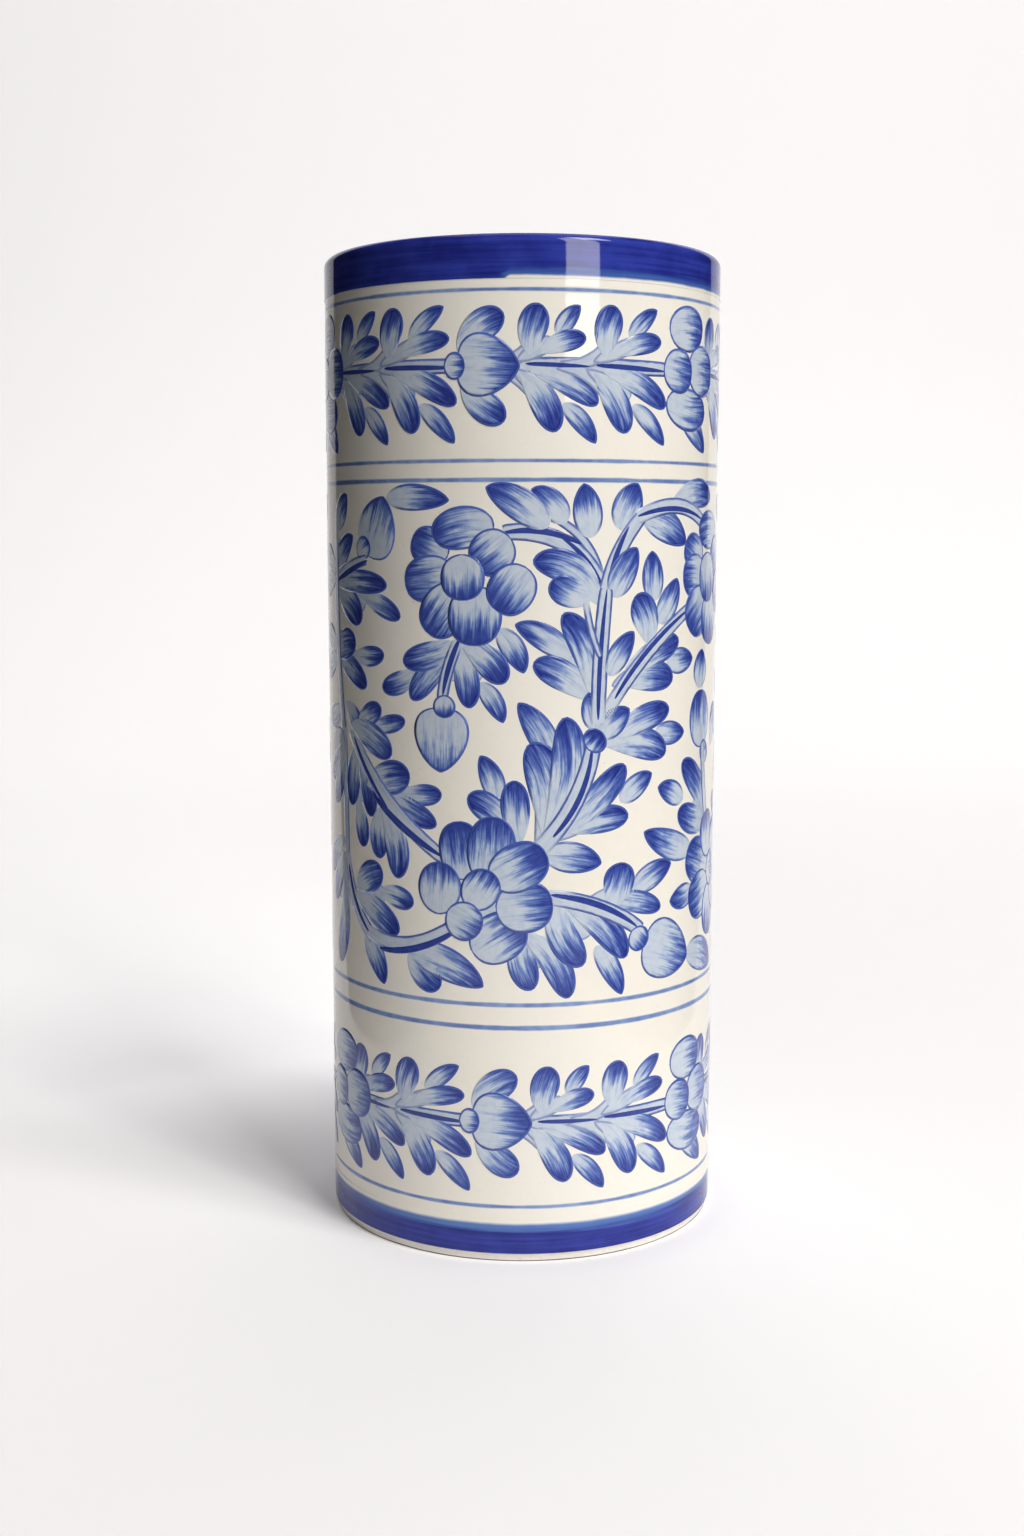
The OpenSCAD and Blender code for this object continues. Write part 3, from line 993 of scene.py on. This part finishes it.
def left_edge_fronds(side, start):
    """Fronds under the left-hand vine and out to the side."""
    frond(
        (-54.5, 127, -51, 113.3, 6.8, 0.6),
        (-53, 143, -57, 124.5, 8, -1),
        (-52.5, 142, -47.2, 122.3, 7.4, 0.8),
    )
    frond((-43, 125.5, -43.3, 111, 7.4, -1), (-42.5, 125.5, -37, 106.2, 8.4, 2.4))
    frond(
        (-62, 102, -67.8, 77.3, 8.4, 1.4),
        (-62, 114, -77, 103, 7, -1),
        (-62, 110, -71, 95, 7, -1),
    )
    frond((-62, 142, -74, 131, 7, 1), (-62, 140, -70, 124, 7, 1), (-63, 152, -76, 148, 7, 1))
    frond((-65, 166, -79, 160, 7, -1), (-66, 170, -78, 174, 7, 1))
    frond((-67, 192, -78, 197, 7, 1), (-67, 188, -80, 184, 7, -1))
    dry(f"{side}_left_edge_fronds", start=start)


def low_leaves(side, start, *replaced):
    """The leaves along the bottom."""
    paint("leaf", -50.5, 88.5, -42.3, 75.3, 7.6, 1)
    paint("lobe", -33, 86, -23, 77, 8.6, -0.8)
    paint("leaf", -33, 86.5, -10.6, 78, 9.6, 1.6)
    paint("wash", -1, 94, 5.5, 84, 8, 0)
    paint("lobe", -0.5, 94, 3, 77.5, 8, -1.4)
    paint("lobe", 0, 93.5, 12.6, 74.8, 8, 2.6)
    dry(f"{side}_low_leaves", *replaced, start=start)


def crown(side, start):
    """The crown of leaves over the big flower."""
    paint("leaf", -6.5, 129, -11.3, 141.5, 6.6, -0.8)
    paint("wash", -1, 118, -5.5, 128, 9, 0)
    paint("lobe", -2, 120, -14.8, 130.3, 8, -1.4)
    paint("lobe", -0.5, 117.5, -2, 134.9, 8, 0.4)
    paint("leaf", 9, 139, -1, 155.8, 7.8, -1)
    paint("wash", 4, 116, 8.5, 136, 11.5, -2.6)
    paint("lobe", 6.5, 117, 2, 144.8, 11.6, -3.6, 0.66)
    paint("lobe", 5.5, 116, 11.6, 151.8, 10.6, -4, 0.64)
    paint("leaf", 6, 114.6, 22.2, 111.7, 8.6, 0.5)
    dry(f"{side}_crown", start=start)


def big_flower(side, start):
    """The flower that the vines rise from."""
    paint("pale", -16, 104, 5, 104, 20, 0)
    paint("petal", -13.5, 87.5, 0.5, 96, 14, 0, 0.55)
    paint("petal", -7, 99.5, 8.4, 101.2, 14.4, 0, 0.55)
    paint("petal", -16, 107.5, -17.7, 123.4, 12.6, 0, 0.4)
    paint("petal", -9, 106.5, -7.6, 125, 13.6, 0, 0.5)
    paint("petal", -8.5, 107.5, 6.6, 115, 13.4, 0, 0.5)
    paint("round", -23.5, 97.5, -22.8, 112, 13, 0, 0.62)
    paint("round", -14.5, 99.8, -8.2, 110, 10.8, 0, 0.62)
    paint("round", -20.8, 98.5, -11.2, 93.6, 11, 0, 0.66)
    dry(f"{side}_big_flower", first_order=14, start=start)


def arch_leaves(side, start):
    """The leaves on the arching stems."""
    paint("leaf", 34.5, 205.2, 52.2, 198, 9.2, 1)
    paint("lobe", 46, 209.5, 68.3, 210.8, 8.2, 1.6)
    paint("leaf", 18.2, 199.6, 16.6, 213.8, 8.4, -0.3)
    paint("leaf", 27.5, 201.6, 33, 213.9, 9.4, 0.5)
    paint("leaf", 11.5, 203.4, 2.5, 212.3, 7.6, -1)
    paint("leaf", 7, 202.5, -9.6, 212.8, 8.8, -1)
    paint("lobe", 21, 181.5, 3, 193.2, 8.8, -4)
    paint("lobe", 18.8, 183, 7.6, 188, 8, 0.6)
    paint("leaf", 25.3, 183.8, 32.8, 196.9, 8.2, 0.5)
    dry(f"{side}_arch_leaves", start=start)


def middle_fronds(side, start):
    """Fronds on both sides of the middle stem, in its upper half."""
    paint("wash", 25, 160, 40, 165, 6.6, 0)
    paint("leaf", 44, 165.5, 56.6, 166.2, 7.4, 0)
    paint("lobe", 27, 160.5, 46.6, 160.8, 8.6, 1.6)
    paint("lobe", 29, 164, 49.2, 171.6, 7.6, 0.6)
    paint("leaf", 38.8, 182.5, 38, 196, 7.8, 0)
    paint("leaf", 40.3, 176.8, 48.2, 188.5, 7.8, -0.8)
    paint("lobe", 37, 170.5, 32.5, 184.2, 9.2, -1.4)
    paint("wash", 20, 155, 10.5, 167, 7, -1.5)
    paint("leaf", 13, 168, -1.8, 176.7, 7.2, -1)
    paint("lobe", 19.5, 156, 3, 166.2, 8.2, -1.6, 0.58)
    paint("lobe", 20, 154.5, 11, 179.5, 8.6, -3, 0.6)
    paint("leaf", 24.3, 162.8, 31.9, 174.4, 6.6, 0.6)
    dry(f"{side}_middle_fronds", start=start)


def stem_fronds(side, start):
    """The fronds below those, and the knot where the stem branches."""
    paint("wash", 8, 118.5, 23, 128, 6.4, 0)
    paint("leaf", 28, 128.3, 38.6, 135.4, 6.6, 0.5)
    paint("lobe", 11, 121, 30.5, 124.2, 7.6, 1)
    paint("lobe", 12, 121.5, 29.2, 138.4, 8, -0.6)
    paint("wash", 21, 145, 36, 147, 7, 0)
    paint("leaf", 39.5, 146.2, 52.3, 145.8, 6.8, 0)
    paint("lobe", 23, 144, 43.8, 140.5, 8.8, 2)
    paint("lobe", 24.5, 146, 45.2, 152.8, 7.6, 1)
    paint("leaf", 21.5, 146.2, 30.6, 153.6, 7.4, 0.4)
    paint("leaf", 20.4, 148, 18.2, 158.4, 6.4, 0)
    paint("round", 18, 143, 22.2, 147.6, 7.4, 0, 0.25, 0.95)
    dry(f"{side}_stem_fronds", first_order=1, start=start)


def low_bud(side, start):
    """The bud at the lower right, its frond and leaves."""
    paint("wash", 18, 101.5, 31, 103, 6, 0)
    paint("leaf", 32, 103.3, 46.8, 109.4, 7.6, 0.6)
    paint("lobe", 22, 101.5, 42.4, 97.2, 6.4, 1)
    paint("lobe", 25, 99.5, 28.8, 111.4, 9.8, -0.6)
    paint("wash", 8, 103, 19.5, 92.5, 8.5, 0)
    paint("leaf", 20.6, 88.6, 28.8, 74.5, 6.4, 0.8)
    paint("lobe", 9, 103, 17.3, 84, 8.8, -2.4)
    paint("lobe", 10, 103, 30, 84.8, 8.4, 2.2)
    paint("leaf", 54.6, 82, 75, 75.5, 10.2, 1.4)
    paint("heart", 36.2, 88.2, 55.2, 81.3, 17.2, 0, 0.6, 0.8)
    paint("round", 32, 92, 36.8, 87.2, 7.4, 0)
    dry(f"{side}_low_bud", first_order=3, start=start)


def right_leaves(side, start):
    """Leaves round the right-hand flower, and the bud above it."""
    paint("wash", 68, 118, 58, 125.5, 7, 0)
    paint("leaf", 52, 126.6, 41, 131.2, 7, -0.5)
    paint("lobe", 68, 119.5, 50, 123.8, 8.8, 1.6)
    paint("lobe", 68, 119, 51.6, 137.3, 8.8, -1.6)
    paint("leaf", 57, 112, 36, 119.2, 8.6, 1)
    paint("leaf", 58, 100.5, 46.4, 98.4, 7.2, 0.6)
    paint("leaf", 69, 98, 73.5, 84.3, 7.4, 0.6)
    paint("petal", 62, 140.5, 62.5, 156.8, 13.8, 0, 0.5)
    paint("round", 62.5, 137.5, 68, 140.5, 7, 0)
    paint("leaf", 61, 157.5, 63, 168.3, 9, 0)
    paint("lobe", 72, 140, 78, 152, 8, 0)
    dry(f"{side}_right_leaves", start=start)


def right_flower(side, start):
    paint("petal", 70, 105, 54.4, 110.6, 14, 0, 0.5)
    paint("petal", 71, 100, 56, 95.8, 14, 0, 0.5)
    paint("petal", 71, 108, 68, 121.5, 12.5, 0)
    paint("petal", 72, 100, 72, 84.5, 13, 0)
    paint("petal", 74, 108, 84, 116, 12.5, 0)
    paint("petal", 74, 100, 85, 94, 12.5, 0)
    paint("round", 69, 104, 78, 104, 11, 0)
    dry(f"{side}_right_flower", first_order=14, start=start)


def right_peony(side, start):
    paint("petal", 62, 193, 52, 198, 10.5, 0)
    paint("petal", 64, 189, 51, 189, 12.5, 0)
    paint("petal", 65, 184, 54, 174.5, 14, 0, 0.5)
    paint("petal", 70, 185, 68, 169.5, 14.5, 0, 0.5)
    paint("petal", 75, 200, 60, 200.5, 11, -1.5)
    paint("petal", 80, 198, 71, 191, 12, 0)
    paint("petal", 82, 190, 76, 179, 12.5, 0)
    paint("petal", 66, 195.5, 67, 181.5, 12.6, 0)
    dry(f"{side}_right_peony", first_order=14, start=start)


def side_lower_fronds(side, start):
    frond((90, 92, 98.5, 88, 6.4, -1), (90, 88, 96, 77.5, 6.6, 1), (91, 84, 83, 77, 6.2, 1))
    frond((89.5, 109, 95.5, 121.5, 6.8, 1), (89.5, 107, 99, 113, 5.6, 1))
    frond((89, 118, 76, 125.5, 7, 1), (89, 119, 81.5, 136, 7.6, -1))
    frond((88, 134, 95.8, 146.5, 6.8, 1), (88, 132, 98.5, 137.6, 5.6, 1))
    dry(f"{side}_side_lower_fronds", start=start)


def side_upper_fronds(side, start):
    frond((88, 147, 80, 161, 7.4, -1), (88, 145, 75.5, 148.6, 7, 1))
    frond((86.5, 160, 93.5, 174, 6.8, -1), (87, 158, 98.6, 166, 5.6, 1))
    frond((88, 182, 96.5, 195, 7, 1), (88.5, 180, 84.5, 168.5, 5.6, 1))
    frond((90, 205, 80.5, 211.5, 6.6, 1), (91, 203, 98, 211, 6.4, 0.6))
    dry(f"{side}_side_upper_fronds", start=start)


def side_vine(side, start):
    """The vine at the side, where one garden meets the next."""
    paint("stem", 92, 77, 87, 146, 3.6, 2.4)
    paint("vein", 92, 79, 87.5, 142, 1.4, 2.2)
    paint("stem", 87, 143, 91.5, 212, 3.6, -2.6)
    paint("vein", 87.2, 146, 91, 208, 1.4, -2.4)
    dry(f"{side}_side_vine", long=True, first_order=14, start=start)


def garden(side, start, flowers=(), fronds=(), leaves=()):
    """One garden, start round from the front. Only the front one stands for CAD nodes."""
    main_vines(side, start)
    arching_stems(side, start)
    open_peony(side, start, *flowers)
    hanging_bud(side, start)
    top_bud(side, start)
    left_vine_fronds(side, start, *fronds)
    left_edge_fronds(side, start)
    low_leaves(side, start, *leaves)
    crown(side, start)
    big_flower(side, start)
    arch_leaves(side, start)
    middle_fronds(side, start)
    stem_fronds(side, start)
    low_bud(side, start)
    right_leaves(side, start)
    right_flower(side, start)
    right_peony(side, start)
    side_lower_fronds(side, start)
    side_upper_fronds(side, start)
    side_vine(side, start)


garden("front", 0, ["middle_flowers"], ["middle_fronds"], ["middle_leaves"])
garden("back", round_trip / 2)
